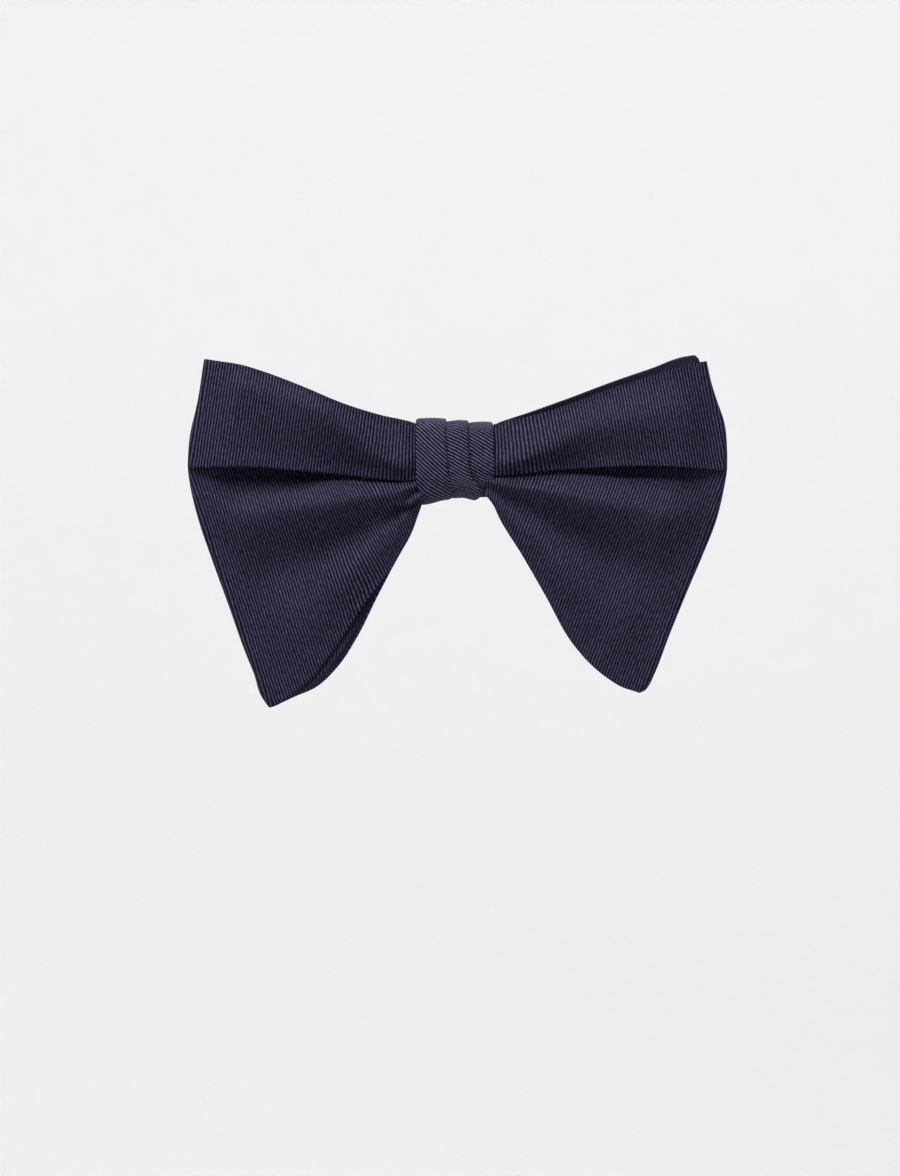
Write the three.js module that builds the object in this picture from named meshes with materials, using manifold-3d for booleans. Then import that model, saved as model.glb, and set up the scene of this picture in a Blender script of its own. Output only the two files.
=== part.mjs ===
// A pre-tied butterfly bow tie on an adjustable neckband, as it is worn.
// Millimetres, +Z up. The bow faces -Y, and the neckband runs round the Z axis behind it,
// with its middle height at z = 0. "Left" is -X, the left-hand side seen from the front.
import * as THREE from 'three';
import { mergeVertices } from 'three/addons/utils/BufferGeometryUtils.js';
import Module from 'manifold-3d';

const wasm = await Module();
wasm.setup();

// ---------------------------------------------------------------- driving dimensions

const GAP = 0.3; // clearance between pieces that touch
const THREAD_HALF = 0.25; // half the width of a sewing thread
const LEFT = -1;
const RIGHT = 1;

// Neckband: two half circles joined by a flat at the front and one at the back.
const NECK_RADIUS = 58; // inner face of the strap on the half circles
const NECK_HALF_FLAT = 14;
const STRAP_WIDTH = 20;
const STRAP_THICK = 1;
const STRAP_STEP = 6; // degrees of arc per straight step of a strap
const NEAR_BEND = 20; // arc angle of the bend beside the knot, from the front
const FAR_BEND = 135; // arc angle of the bend near the clasp
const BEND_GAP = 0.15; // degrees left free on each side of a bend
const LAID_RADIUS = NECK_RADIUS + 1.5 * STRAP_THICK + GAP; // middle of a strap laid on the band

// Clasp: a hook and an eye stamped from plate, each on a strap turned round its bar.
const BAR_X = 16.05; // middle of the bar that the strap turns round, from the centre
const BAR_RADIUS = 60.3; // its distance behind the centre
const TURN_RADIUS = 1.8; // middle of the strap where it turns round a clasp bar
const PLATE_THICK = 1;
const PLATE_HALF_HEIGHT = 12.1;
const SLOT_HALF_HEIGHT = 10.4;
const BAR_HALF_WIDTH = 0.95;
const SLOT_WIDTH = 2.5;
const TONGUE_WIDTH = 10;

// Slider on the left side of the band: a frame with two inner bars and a raised centre bar.
const SLIDER_ANGLE = 75; // arc angle of its middle, from the front
const SLIDER_HALF_LENGTH = 6;
const SLIDER_BAR = 1.6; // width of an inner bar
const SLIDER_RAIL_HEIGHT = 1.7;
const SLIDER_INNER = NECK_RADIUS - GAP - 1; // neck side of the frame
const CENTRE_BAR_INNER = LAID_RADIUS + STRAP_THICK / 2 + GAP;
const CENTRE_BAR_HALF_WIDTH = 1.2;

// Knot: a strip round the middle of the bow, in three pleats that step back to the right.
const KNOT_LEFT = -14.8;
const KNOT_RIGHT = 14.7;
const PLEAT_1 = -3.3; // edge of the left pleat, which lies over the middle one
const PLEAT_2 = 5.2; // edge of the middle pleat, which lies over the right one
const PLEAT_STEP = 0.8;
const KNOT_FRONT = -74.5;
const KNOT_BACK = -56.5;
const KNOT_TOP = 15.5;
const KNOT_BOTTOM = -16;
const KNOT_WALL = 1.2;
const KNOT_LAP = 1; // how far the wrap's upper end stands out at the back, where it laps over the lower
const KNOT_SEAM = -6.2; // height of that end's edge
const KNOT_HOLLOW_FRONT = -71.6;
const KNOT_FRONT_ROUND = 5; // radius of the knot's front edges
const KNOT_BACK_ROUND = 2;

// Bow strip: outer cloth, interlining and lining, folded into a loop on each side.
const WING_FRONT = -70; // front ply beside the knot
const WING_BACK = -62.2; // back ply
const WING_PUFF = 6; // how far each lobe stands forward
const FOLD_RADIUS = 2.4; // outer face of the outer fold
const FRONT_STEPS = 6;
const TURN_STEPS = 4;
const ACROSS_STEPS = 6;
const LAYERS = {
  cloth: { from: 0, to: 0.5 },
  interlining: { from: 0.8, to: 1.2 },
  lining: { from: 1.5, to: 1.8 },
};

// Wing outlines in the X-Z plane, from the knot to the outer fold.
// backDrop and backRise say how far the back ply hangs below, and stands above, the front ply.
const WINGS = {
  left: {
    side: LEFT,
    bottom: [[-16.5, -17.5], [-24, -38], [-41.5, -64.8], [-54.4, -81.9], [-68.5, -90.7]],
    crease: [[-16.5, -7], [-41, -5.2], [-75, -3.5], [-98.7, -2.5]],
    top: [[-16.5, 12.5], [-42, 21.5], [-69.3, 31.9], [-92.6, 36.5]],
    backDrop: 4,
    backRise: 0,
    bulge: 1.8,
  },
  right: {
    side: RIGHT,
    bottom: [[16.5, -17.5], [24.8, -35.2], [43.7, -68.5], [57.4, -82.2], [68.5, -86.3]],
    crease: [[16.5, -5.8], [41, -5.4], [75, -5], [100.3, -2.5]],
    top: [[16.5, 12.5], [42, 21.5], [72.9, 32.5], [92.1, 37]],
    backDrop: 0,
    backRise: 4,
    bulge: 1.8,
  },
};

// ---------------------------------------------------------------- finishes

function finish(color, roughness, metalness = 0) {
  return new THREE.MeshStandardMaterial({ color, roughness, metalness });
}

const NAVY_CLOTH = finish(0x302e44, 0.85);
const NAVY_KNOT = finish(0x39374e, 0.85);
const NAVY_STRAP = finish(0x26253a, 0.8);
const PALE_INTERLINING = finish(0xcfcac0, 0.95);
const LINING = finish(0x2b2a3d, 0.7);
const PADDING = finish(0xdad6cc, 1);
const THREAD = finish(0x1f1e30, 0.7);
const NICKEL = finish(0xb9b8b4, 0.3, 1);
const LABEL = finish(0xe8e6df, 0.8);

// ---------------------------------------------------------------- helpers

const radians = THREE.MathUtils.degToRad;

// Keeps only the positions, joins shared vertices and turns the faces outwards.
function closed(geometry) {
  geometry.deleteAttribute('normal');
  geometry.deleteAttribute('uv');
  const merged = mergeVertices(geometry);
  const at = merged.attributes.position;
  const index = merged.index.array;
  const [a, b, c] = [new THREE.Vector3(), new THREE.Vector3(), new THREE.Vector3()];
  let volume = 0;
  for (let i = 0; i < index.length; i += 3) {
    a.fromBufferAttribute(at, index[i]);
    b.fromBufferAttribute(at, index[i + 1]);
    c.fromBufferAttribute(at, index[i + 2]);
    volume += a.dot(b.cross(c));
  }
  if (volume < 0) {
    for (let i = 0; i < index.length; i += 3) {
      [index[i], index[i + 1]] = [index[i + 1], index[i]];
    }
  }
  return merged;
}

// A box's surface carried to its place: place(u, v, w) takes each from 0 to 1.
function shapedBox(uSteps, vSteps, wSteps, place) {
  const box = new THREE.BoxGeometry(1, 1, 1, uSteps, vSteps, wSteps);
  // The face at w = 0 is split along the same diagonals as the one at w = 1, so that nested layers
  // keep their gap.
  const { start, count } = box.groups[5];
  const index = box.index.array;
  for (let i = start; i < start + count; i += 6) {
    const [a, b, d, , c] = index.slice(i, i + 6);
    index.set([a, b, c, a, c, d], i);
  }
  const at = box.attributes.position;
  for (let i = 0; i < at.count; i++) {
    const p = place(at.getX(i) + 0.5, at.getY(i) + 0.5, at.getZ(i) + 0.5);
    at.setXYZ(i, p.x, p.y, p.z);
  }
  return closed(box);
}

function solid(geometry) {
  const { position } = geometry.attributes;
  const triVerts = new Uint32Array(geometry.index.array);
  const mesh = { numProp: 3, vertProperties: position.array, triVerts };
  return new wasm.Manifold(new wasm.Mesh(mesh));
}

function joined(...geometries) {
  const [first, ...rest] = geometries.map(solid);
  const whole = rest.reduce((sum, piece) => sum.add(piece), first).getMesh();
  const geometry = new THREE.BufferGeometry();
  geometry.setAttribute('position', new THREE.BufferAttribute(whole.vertProperties, 3));
  geometry.setIndex(new THREE.BufferAttribute(whole.triVerts, 1));
  return geometry;
}

// A strap standing on edge, whose middle follows the points of a plan.
function strap(plan, width = STRAP_WIDTH, thick = STRAP_THICK) {
  const last = plan.length - 1;
  const place = (u, v, w) => {
    const i = Math.round(u * last);
    const along = plan[Math.min(i + 1, last)].clone().sub(plan[Math.max(i - 1, 0)]).normalize();
    const out = (w - 0.5) * thick;
    return new THREE.Vector3(plan[i].x - along.y * out, plan[i].y + along.x * out, (v - 0.5) * width);
  };
  return shapedBox(last, 1, 1, place);
}

// A point of the neckband's plan: the angle runs from the front round one side to the back.
function onBand(side, angle, radius) {
  const turn = radians(angle);
  return new THREE.Vector2(side * (NECK_HALF_FLAT + radius * Math.sin(turn)), -radius * Math.cos(turn));
}

function arc(side, from, to, radiusAt) {
  const steps = Math.max(1, Math.ceil(Math.abs(to - from) / STRAP_STEP));
  return Array.from({ length: steps + 1 }, (_, i) => {
    const angle = THREE.MathUtils.lerp(from, to, i / steps);
    return onBand(side, angle, radiusAt(angle));
  });
}

// A block between two arc lengths (mm from the slider's middle), two radii and two heights.
function sliderBlock(s0, s1, r0, r1, z0, z1) {
  const place = (u, v, w) => {
    const angle = SLIDER_ANGLE + THREE.MathUtils.radToDeg(THREE.MathUtils.lerp(s0, s1, u) / LAID_RADIUS);
    const at = onBand(LEFT, angle, THREE.MathUtils.lerp(r0, r1, w));
    return new THREE.Vector3(at.x, at.y, THREE.MathUtils.lerp(z0, z1, v));
  };
  return shapedBox(2, 1, 1, place);
}

function polygon(corners) {
  return new THREE.Shape(corners.map(([x, y]) => new THREE.Vector2(x, y)));
}

// A thread laid in zigzag stitches through a list of points.
function thread(points) {
  const half = THREAD_HALF;
  const section = polygon([[-half, -half], [half, -half], [half, half], [-half, half]]);
  const path = new THREE.CatmullRomCurve3(points);
  const steps = (points.length - 1) * 2;
  return closed(new THREE.ExtrudeGeometry(section, { steps, bevelEnabled: false, extrudePath: path }));
}

// A shape drawn in (y, z), pushed out along X.
function alongX(shape, x0, x1) {
  const options = { depth: x1 - x0, bevelEnabled: false, curveSegments: 4 };
  const geometry = new THREE.ExtrudeGeometry(shape, options);
  const basis = new THREE.Matrix4().makeBasis(
    new THREE.Vector3(0, 1, 0), new THREE.Vector3(0, 0, 1), new THREE.Vector3(1, 0, 0));
  geometry.applyMatrix4(basis);
  geometry.translate(x0, 0, 0);
  return closed(geometry);
}

// A shape drawn in (x, z), given its thickness along Y about a middle plane.
function alongY(shape, middle, thick) {
  const options = { depth: thick, bevelEnabled: false, curveSegments: 3 };
  const geometry = new THREE.ExtrudeGeometry(shape, options);
  const basis = new THREE.Matrix4().makeBasis(
    new THREE.Vector3(1, 0, 0), new THREE.Vector3(0, 0, 1), new THREE.Vector3(0, -1, 0));
  geometry.applyMatrix4(basis);
  geometry.translate(0, middle + thick / 2, 0);
  return closed(geometry);
}

// A rectangle with a radius for its corners on the low side and one for those on the high side.
function roundedRect(path, low, high, bottom, top, lowRound, highRound) {
  path.moveTo(low + lowRound, bottom);
  path.lineTo(high - highRound, bottom);
  path.quadraticCurveTo(high, bottom, high, bottom + highRound);
  path.lineTo(high, top - highRound);
  path.quadraticCurveTo(high, top, high - highRound, top);
  path.lineTo(low + lowRound, top);
  path.quadraticCurveTo(low, top, low, top - lowRound);
  path.lineTo(low, bottom + lowRound);
  path.quadraticCurveTo(low, bottom, low + lowRound, bottom);
  return path;
}

const bow = new THREE.Group();

function add(name, geometry, material) {
  const mesh = new THREE.Mesh(geometry, material);
  mesh.name = name;
  bow.add(mesh);
}

// ---------------------------------------------------------------- wings

function wingLayer(wing, layer) {
  const [bottom, crease, top] = [wing.bottom, wing.crease, wing.top]
    .map((points) => new THREE.SplineCurve(points.map(([x, z]) => new THREE.Vector2(x, z))));
  const steps = 2 * FRONT_STEPS + TURN_STEPS;

  // The ply's outline point, with its outer end drawn in to leave room for the fold.
  const outline = (u, v) => {
    const low = v < 0.5;
    const share = low ? 2 * v : 2 * v - 1;
    const point = (low ? bottom : crease).getPointAt(u).lerp((low ? crease : top).getPointAt(u), share);
    point.x += wing.side * u * (wing.bulge * Math.sin(Math.PI * share) - FOLD_RADIUS);
    return point;
  };
  const frontY = (u, v) => {
    const puff = WING_PUFF * Math.sin(Math.PI * u) * Math.abs(Math.sin(2 * Math.PI * v));
    const end = THREE.MathUtils.lerp(WING_FRONT, WING_BACK - 2 * FOLD_RADIUS, u);
    return end - puff;
  };

  const place = (s, v, w) => {
    const depth = THREE.MathUtils.lerp(layer.from, layer.to, w);
    const step = s * steps;
    const front = step <= FRONT_STEPS;
    const turned = THREE.MathUtils.clamp((step - FRONT_STEPS) / TURN_STEPS, 0, 1);
    const back = step > FRONT_STEPS + TURN_STEPS;
    const u = front ? step / FRONT_STEPS : back ? (steps - step) / FRONT_STEPS : 1;
    const point = outline(u, v);
    point.y += turned * (wing.backRise * u * v - wing.backDrop * Math.sin(Math.PI * u) * (1 - v));
    if (front) return new THREE.Vector3(point.x, frontY(u, v) + depth, point.y);
    if (back) return new THREE.Vector3(point.x, WING_BACK - depth, point.y);
    const turn = Math.PI * turned;
    const radius = FOLD_RADIUS - depth;
    const x = point.x + wing.side * radius * Math.sin(turn);
    return new THREE.Vector3(x, WING_BACK - FOLD_RADIUS - radius * Math.cos(turn), point.y);
  };
  return shapedBox(steps, ACROSS_STEPS, 1, place);
}

for (const [name, wing] of Object.entries(WINGS)) {
  add(`${name}_wing_cloth`, wingLayer(wing, LAYERS.cloth), NAVY_CLOTH);
  add(`${name}_wing_interlining`, wingLayer(wing, LAYERS.interlining), PALE_INTERLINING);
  add(`${name}_wing_lining`, wingLayer(wing, LAYERS.lining), LINING);
}

// ---------------------------------------------------------------- knot and gather

function wrapRing(front, x0, x1) {
  const ring = roundedRect(new THREE.Shape(), front, KNOT_BACK, KNOT_BOTTOM, KNOT_TOP,
    KNOT_FRONT_ROUND, KNOT_BACK_ROUND);
  const hollow = roundedRect(new THREE.Path(), KNOT_HOLLOW_FRONT, KNOT_BACK - KNOT_WALL,
    KNOT_BOTTOM + KNOT_WALL, KNOT_TOP - KNOT_WALL, KNOT_FRONT_ROUND - KNOT_WALL, KNOT_BACK_ROUND / 2);
  ring.holes.push(hollow);
  return alongX(ring, x0, x1);
}

const pleatOverlap = 0.5;
const lapInset = 1;
const lap = roundedRect(new THREE.Shape(), KNOT_BACK - pleatOverlap, KNOT_BACK + KNOT_LAP,
  KNOT_SEAM, KNOT_TOP - KNOT_BACK_ROUND, 0.1, 0.3);
add('knot_wrap', joined(
  wrapRing(KNOT_FRONT, KNOT_LEFT, PLEAT_1),
  wrapRing(KNOT_FRONT + PLEAT_STEP, PLEAT_1 - pleatOverlap, PLEAT_2),
  wrapRing(KNOT_FRONT + 2 * PLEAT_STEP, PLEAT_2 - pleatOverlap, KNOT_RIGHT),
  alongX(lap, KNOT_LEFT + lapInset, KNOT_RIGHT - lapInset),
), NAVY_KNOT);

const padFront = KNOT_HOLLOW_FRONT + GAP;
const padBack = padFront + 1.4;
const padSideInset = 1;
const padEndInset = 6;
const padShape = roundedRect(new THREE.Shape(), KNOT_LEFT + padSideInset, KNOT_RIGHT - padSideInset,
  KNOT_BOTTOM + padEndInset, KNOT_TOP - padEndInset, 3, 3);
add('knot_padding', alongY(padShape, (padFront + padBack) / 2, padBack - padFront), PADDING);

// The gather's section has a row of folds on its front, and a waist where the thread is wound.
const gatherFront = padBack + GAP;
const gatherBack = -NECK_RADIUS - STRAP_THICK - GAP;
const gatherBottom = KNOT_BOTTOM + KNOT_WALL + 1;
const gatherTop = KNOT_TOP - KNOT_WALL - 1;
const foldDepth = 1.4;
const gatherFolds = 4;

function gatherSection(inset) {
  const bottom = gatherBottom + inset;
  const height = gatherTop - inset - bottom;
  const shape = new THREE.Shape();
  shape.moveTo(gatherBack - inset, bottom);
  shape.lineTo(gatherBack - inset, bottom + height);
  for (let i = 2 * gatherFolds; i >= 0; i--) {
    const front = gatherFront + inset + (i % 2) * foldDepth;
    shape.lineTo(front, bottom + (height * i) / (2 * gatherFolds));
  }
  return shape;
}

const gatherEnd = 14.5;
const waist = 3; // half the length of the waist
const waistDepth = 1.1;
add('bow_gather', joined(
  alongX(gatherSection(0), -gatherEnd, -waist),
  alongX(gatherSection(waistDepth), -waist - pleatOverlap, waist + pleatOverlap),
  alongX(gatherSection(0), waist, gatherEnd),
), NAVY_CLOTH);

const bindingOuter = 0.2; // the binding's outer and inner faces, in from the gather's own
const bindingInner = waistDepth - GAP;
const bindingRing = roundedRect(new THREE.Shape(), gatherFront + bindingOuter, gatherBack - bindingOuter,
  gatherBottom + bindingOuter, gatherTop - bindingOuter, 0.8, 0.8);
bindingRing.holes.push(roundedRect(new THREE.Path(), gatherFront + bindingInner, gatherBack - bindingInner,
  gatherBottom + bindingInner, gatherTop - bindingInner, 0.2, 0.2));
add('binding_thread', alongX(bindingRing, -waist + GAP, waist - GAP), THREAD);

const seamHalfLength = 12;
const seamStitches = 12;
const stitchReach = 1.2; // how far a stitch goes to each side of its row
const seamRow = KNOT_SEAM - GAP - THREAD_HALF - stitchReach;
const seamPoints = Array.from({ length: seamStitches + 1 }, (_, i) =>
  new THREE.Vector3(seamHalfLength * (2 * i / seamStitches - 1), KNOT_BACK + GAP + THREAD_HALF,
    seamRow + (i % 2 ? stitchReach : -stitchReach)));
add('knot_seam_stitches', thread(seamPoints), THREAD);

// ---------------------------------------------------------------- neckband

const bandMiddle = NECK_RADIUS + STRAP_THICK / 2;
const atMiddle = () => bandMiddle;
const nearEnd = NEAR_BEND - BEND_GAP;

add('band_front', strap([
  ...arc(LEFT, nearEnd, 0, atMiddle),
  ...arc(RIGHT, 0, nearEnd, atMiddle),
]), NAVY_STRAP);
add('left_band_side', strap(arc(LEFT, NEAR_BEND + BEND_GAP, FAR_BEND - BEND_GAP, atMiddle)), NAVY_STRAP);
add('right_band_side', strap(arc(RIGHT, NEAR_BEND + BEND_GAP, FAR_BEND - BEND_GAP, atMiddle)), NAVY_STRAP);

// A strap end: along the band, round the clasp's bar and back over itself to an arc angle.
function bandEnd(side, returnsTo) {
  const turnSteps = 6;
  const straight = 178; // arc angle beside the bar
  const laid = 166; // arc angle where the returning strap lies down on the band
  const lifted = BAR_RADIUS + TURN_RADIUS;
  const turn = Array.from({ length: turnSteps + 1 }, (_, i) => {
    const angle = Math.PI * (i / turnSteps - 0.5);
    return new THREE.Vector2(side * (BAR_X - TURN_RADIUS * Math.cos(angle)),
      BAR_RADIUS + TURN_RADIUS * Math.sin(angle));
  });
  const radiusAt = (angle) => {
    const share = THREE.MathUtils.smoothstep(angle, laid, straight - 2);
    return THREE.MathUtils.lerp(LAID_RADIUS, lifted, share);
  };
  const back = [
    ...arc(side, straight - 2, laid, radiusAt),
    ...arc(side, laid - STRAP_STEP / 2, returnsTo, radiusAt),
  ];
  return strap([...arc(side, FAR_BEND + BEND_GAP, straight - 1, atMiddle), ...turn, ...back]);
}

const flapEnd = 152; // arc angle where the right strap's sewn end stops
add('left_band_end', bandEnd(LEFT, FAR_BEND + BEND_GAP), NAVY_STRAP);
add('right_band_end', bandEnd(RIGHT, flapEnd), NAVY_STRAP);

// Stitches up the outer face of a strap whose middle has the given radius.
function zigzagUp(side, angle, strapRadius) {
  const stitches = 8;
  const halfHeight = 8;
  const radius = strapRadius + STRAP_THICK / 2 + GAP + THREAD_HALF;
  return Array.from({ length: stitches + 1 }, (_, i) => {
    const at = onBand(side, angle + (i % 2 ? 1 : -1), radius);
    return new THREE.Vector3(at.x, at.y, halfHeight * (2 * i / stitches - 1));
  });
}

const rightSeam = flapEnd + 4; // arc angle of the stitches, in from the flap's end
add('right_end_stitches', thread(zigzagUp(RIGHT, rightSeam, LAID_RADIUS)), THREAD);

// ---------------------------------------------------------------- slider

const railTop = SLOT_HALF_HEIGHT + SLIDER_RAIL_HEIGHT;
const innerTo = NECK_RADIUS - GAP;
const centreTo = CENTRE_BAR_INNER + 1;
const long = SLIDER_HALF_LENGTH;
add('slider_frame', joined(
  sliderBlock(-long, long, SLIDER_INNER, centreTo, SLOT_HALF_HEIGHT, railTop),
  sliderBlock(-long, long, SLIDER_INNER, centreTo, -railTop, -SLOT_HALF_HEIGHT),
  sliderBlock(-long, -long + SLIDER_BAR, SLIDER_INNER, innerTo, -railTop, railTop),
  sliderBlock(long - SLIDER_BAR, long, SLIDER_INNER, innerTo, -railTop, railTop),
  sliderBlock(-CENTRE_BAR_HALF_WIDTH, CENTRE_BAR_HALF_WIDTH, CENTRE_BAR_INNER, centreTo,
    -railTop, railTop),
), NICKEL);

// The strap's sewn end: under the centre bar, round it and down onto itself.
const loopLength = 9; // from the bar to where the loop meets the rest of the strap
const loopTurn = 1.3; // middle of the strap where it turns round the bar
const loopTurnBack = -1; // where that turn's centre lies, along the band
const barMiddle = (CENTRE_BAR_INNER + centreTo) / 2;
const alongSlider = (s, radius) =>
  onBand(LEFT, SLIDER_ANGLE + THREE.MathUtils.radToDeg(s / LAID_RADIUS), radius);
const loopPlan = [1, 2 / 3, 1 / 3, 0].map((share) => alongSlider(loopLength * share, LAID_RADIUS));
for (let i = 0; i <= 6; i++) {
  const angle = Math.PI * (i / 6 - 0.5);
  const s = loopTurnBack - loopTurn * Math.cos(angle);
  loopPlan.push(alongSlider(s, barMiddle + loopTurn * Math.sin(angle)));
}
const flapRadius = LAID_RADIUS + STRAP_THICK + GAP;
const flapTop = barMiddle + loopTurn;
for (const [s, radius] of [[1.6, flapTop], [3.4, flapTop - 0.5], [5, flapRadius], [8.5, flapRadius]]) {
  loopPlan.push(alongSlider(s, radius));
}
add('slider_end_loop', strap(loopPlan), NAVY_STRAP);

const loopEnd = SLIDER_ANGLE + THREE.MathUtils.radToDeg((loopLength + GAP) / LAID_RADIUS);
add('left_return_strap', strap(arc(LEFT, loopEnd, FAR_BEND - BEND_GAP, () => LAID_RADIUS)), NAVY_STRAP);

const flapMiddle = SLIDER_ANGLE + THREE.MathUtils.radToDeg((loopLength - 2) / LAID_RADIUS);
add('slider_loop_stitches', thread(zigzagUp(LEFT, flapMiddle, flapRadius)), THREAD);

// ---------------------------------------------------------------- clasp

const slotEnd = BAR_X - BAR_HALF_WIDTH;

function slot(side) {
  const [x0, x1] = [side * slotEnd, side * (slotEnd - SLOT_WIDTH)].sort((a, b) => a - b);
  return roundedRect(new THREE.Path(), x0, x1, -SLOT_HALF_HEIGHT, SLOT_HALF_HEIGHT, 0.4, 0.4);
}

const shoulder = -12; // where the hook's plate starts to narrow
const neckOfHook = -7; // where it has narrowed to the tongue
const hookPlate = polygon([
  [-BAR_X - BAR_HALF_WIDTH, -PLATE_HALF_HEIGHT],
  [shoulder, -PLATE_HALF_HEIGHT],
  [neckOfHook, -TONGUE_WIDTH / 2],
  [neckOfHook, TONGUE_WIDTH / 2],
  [shoulder, PLATE_HALF_HEIGHT],
  [-BAR_X - BAR_HALF_WIDTH, PLATE_HALF_HEIGHT],
]);
hookPlate.holes.push(slot(LEFT));

const bendX = -2.8; // where the tongue starts to turn back
const bendRadius = 1.6;
const tonguePlan = [new THREE.Vector2(neckOfHook - 1, BAR_RADIUS)];
for (let i = 0; i <= 6; i++) {
  const angle = Math.PI * (i / 6 - 0.5);
  const y = BAR_RADIUS + bendRadius + bendRadius * Math.sin(angle);
  tonguePlan.push(new THREE.Vector2(bendX + bendRadius * Math.cos(angle), y));
}
tonguePlan.push(new THREE.Vector2(neckOfHook + 0.5, BAR_RADIUS + 2 * bendRadius));
add('hook', joined(
  alongY(hookPlate, BAR_RADIUS, PLATE_THICK),
  strap(tonguePlan, TONGUE_WIDTH, PLATE_THICK),
), NICKEL);

const eyeFar = 2.5; // the end of the eye's plate, from the centre
const windowRim = 2.2; // metal left past the window's far end
const windowWall = 1.7; // metal left between the window and the strap's slot
const windowHalfHeight = 8.6;
const eyePlate = roundedRect(new THREE.Shape(), eyeFar, BAR_X + BAR_HALF_WIDTH,
  -PLATE_HALF_HEIGHT, PLATE_HALF_HEIGHT, 2.5, 1);
eyePlate.holes.push(slot(RIGHT));
eyePlate.holes.push(roundedRect(new THREE.Path(), eyeFar + windowRim, slotEnd - SLOT_WIDTH - windowWall,
  -windowHalfHeight, windowHalfHeight, 1, 1));
add('eye', alongY(eyePlate, BAR_RADIUS, PLATE_THICK), NICKEL);

// ---------------------------------------------------------------- label

const labelThick = 0.4;
const labelHeight = 14;
const labelRadius = NECK_RADIUS - GAP - labelThick / 2 - 0.1; // middle of the label, on the neck side
const labelFrom = 60; // arc angles of its ends
const labelTo = 84;
const labelSeam = 5; // height of its row of stitches
const labelPlan = arc(RIGHT, labelFrom, labelTo, () => labelRadius);
add('care_label', strap(labelPlan, labelHeight, labelThick), LABEL);
const onLabel = labelRadius - labelThick / 2 - GAP - THREAD_HALF;
const labelStitches = Array.from({ length: 9 }, (_, i) => {
  const at = onBand(RIGHT, THREE.MathUtils.lerp(labelFrom + 2, labelTo - 2, i / 8), onLabel);
  return new THREE.Vector3(at.x, at.y, labelSeam + (i % 2 ? 0.6 : -0.6));
});
add('label_stitches', thread(labelStitches), THREAD);

export default bow;
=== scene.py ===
# %% [markdown]
# # A butterfly bow tie, built round its measured frame
# A pre-tied bow tie is a strip of ribbed cloth folded into a loop on each side, pinched in the
# middle and held by a pleated knot, on a neckband with a slider, a hook and an eye.
# The frame comes first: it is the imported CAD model, and every cloth piece is laid where it says.

# %% Load the frame
import math
from bisect import bisect_right

import bmesh
import bpy
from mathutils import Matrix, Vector
from mathutils.geometry import interpolate_bezier


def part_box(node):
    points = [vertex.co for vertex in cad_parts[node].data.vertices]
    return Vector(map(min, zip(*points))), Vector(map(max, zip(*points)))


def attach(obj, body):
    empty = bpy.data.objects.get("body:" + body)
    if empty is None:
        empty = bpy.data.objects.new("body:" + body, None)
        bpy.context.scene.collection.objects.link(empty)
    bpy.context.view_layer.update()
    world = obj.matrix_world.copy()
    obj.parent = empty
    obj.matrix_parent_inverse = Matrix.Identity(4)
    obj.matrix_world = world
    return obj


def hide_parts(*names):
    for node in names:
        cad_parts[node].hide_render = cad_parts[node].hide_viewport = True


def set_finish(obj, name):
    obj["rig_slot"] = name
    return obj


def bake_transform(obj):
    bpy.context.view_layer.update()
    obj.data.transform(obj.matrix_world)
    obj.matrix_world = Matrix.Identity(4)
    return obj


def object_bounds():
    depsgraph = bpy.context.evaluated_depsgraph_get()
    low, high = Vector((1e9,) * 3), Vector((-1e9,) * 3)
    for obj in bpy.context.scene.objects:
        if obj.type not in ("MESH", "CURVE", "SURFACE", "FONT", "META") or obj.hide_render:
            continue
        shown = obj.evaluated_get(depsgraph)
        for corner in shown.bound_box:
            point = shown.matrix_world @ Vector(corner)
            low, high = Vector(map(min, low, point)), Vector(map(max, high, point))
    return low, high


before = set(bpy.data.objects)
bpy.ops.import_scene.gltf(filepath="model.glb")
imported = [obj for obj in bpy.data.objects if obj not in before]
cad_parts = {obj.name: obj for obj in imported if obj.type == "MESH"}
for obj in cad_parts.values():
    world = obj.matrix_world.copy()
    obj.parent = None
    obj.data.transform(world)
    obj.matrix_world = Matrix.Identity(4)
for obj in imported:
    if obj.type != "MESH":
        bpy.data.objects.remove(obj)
cad_low, cad_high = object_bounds()
MM = 0.001
LEFT, RIGHT = -1, 1

# %% [markdown]
# ## Camera and studio
# The tie is seen straight on, from 2.6 m, with a long lens, so it has little perspective.
# Its centre lies under the knot, as the wings hang lower than they rise.

# %% Camera
VIEW_DISTANCE = 2.6  # metres from the front of the bow
VIEW_HEIGHT = 0.4356  # metres of the bow's plane that the picture takes in, top to bottom
VIEW_MIDDLE = (-1.85, -47.4)  # mm across and up
SENSOR = 36.0
knot_low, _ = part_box("knot_wrap")
scene = bpy.context.scene


def new_object(name, data):
    made = bpy.data.objects.new(name, data)
    scene.collection.objects.link(made)
    return made


camera = bpy.data.cameras.new("camera")
camera.sensor_width = SENSOR
camera.lens = SENSOR * VIEW_DISTANCE / VIEW_HEIGHT
scene.camera = new_object("camera", camera)
scene.camera.location = (VIEW_MIDDLE[0] * MM, knot_low.y - VIEW_DISTANCE, VIEW_MIDDLE[1] * MM)
scene.camera.rotation_euler = (math.radians(90), 0, 0)
print("lens:", round(camera.lens, 1), "mm")

# %% [markdown]
# The stage is one pale dish: a floor that curves up into a low wall all round, so that no
# corner shows from any side. It is one profile line, spun once round the upright axis.

# %% Floor and wall
FLOOR_DROP = 0.6  # metres from the lowest point of the tie to the floor
WALL_AWAY = 3.2  # metres from the tie to the wall
BEND_RADIUS, BEND_STEPS = 0.9, 12
WALL_TOP = 1.7  # metres that the wall rises above its bend
HOLE = 0.001  # where the profile starts, beside the axis
floor = cad_low.z - FLOOR_DROP


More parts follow.
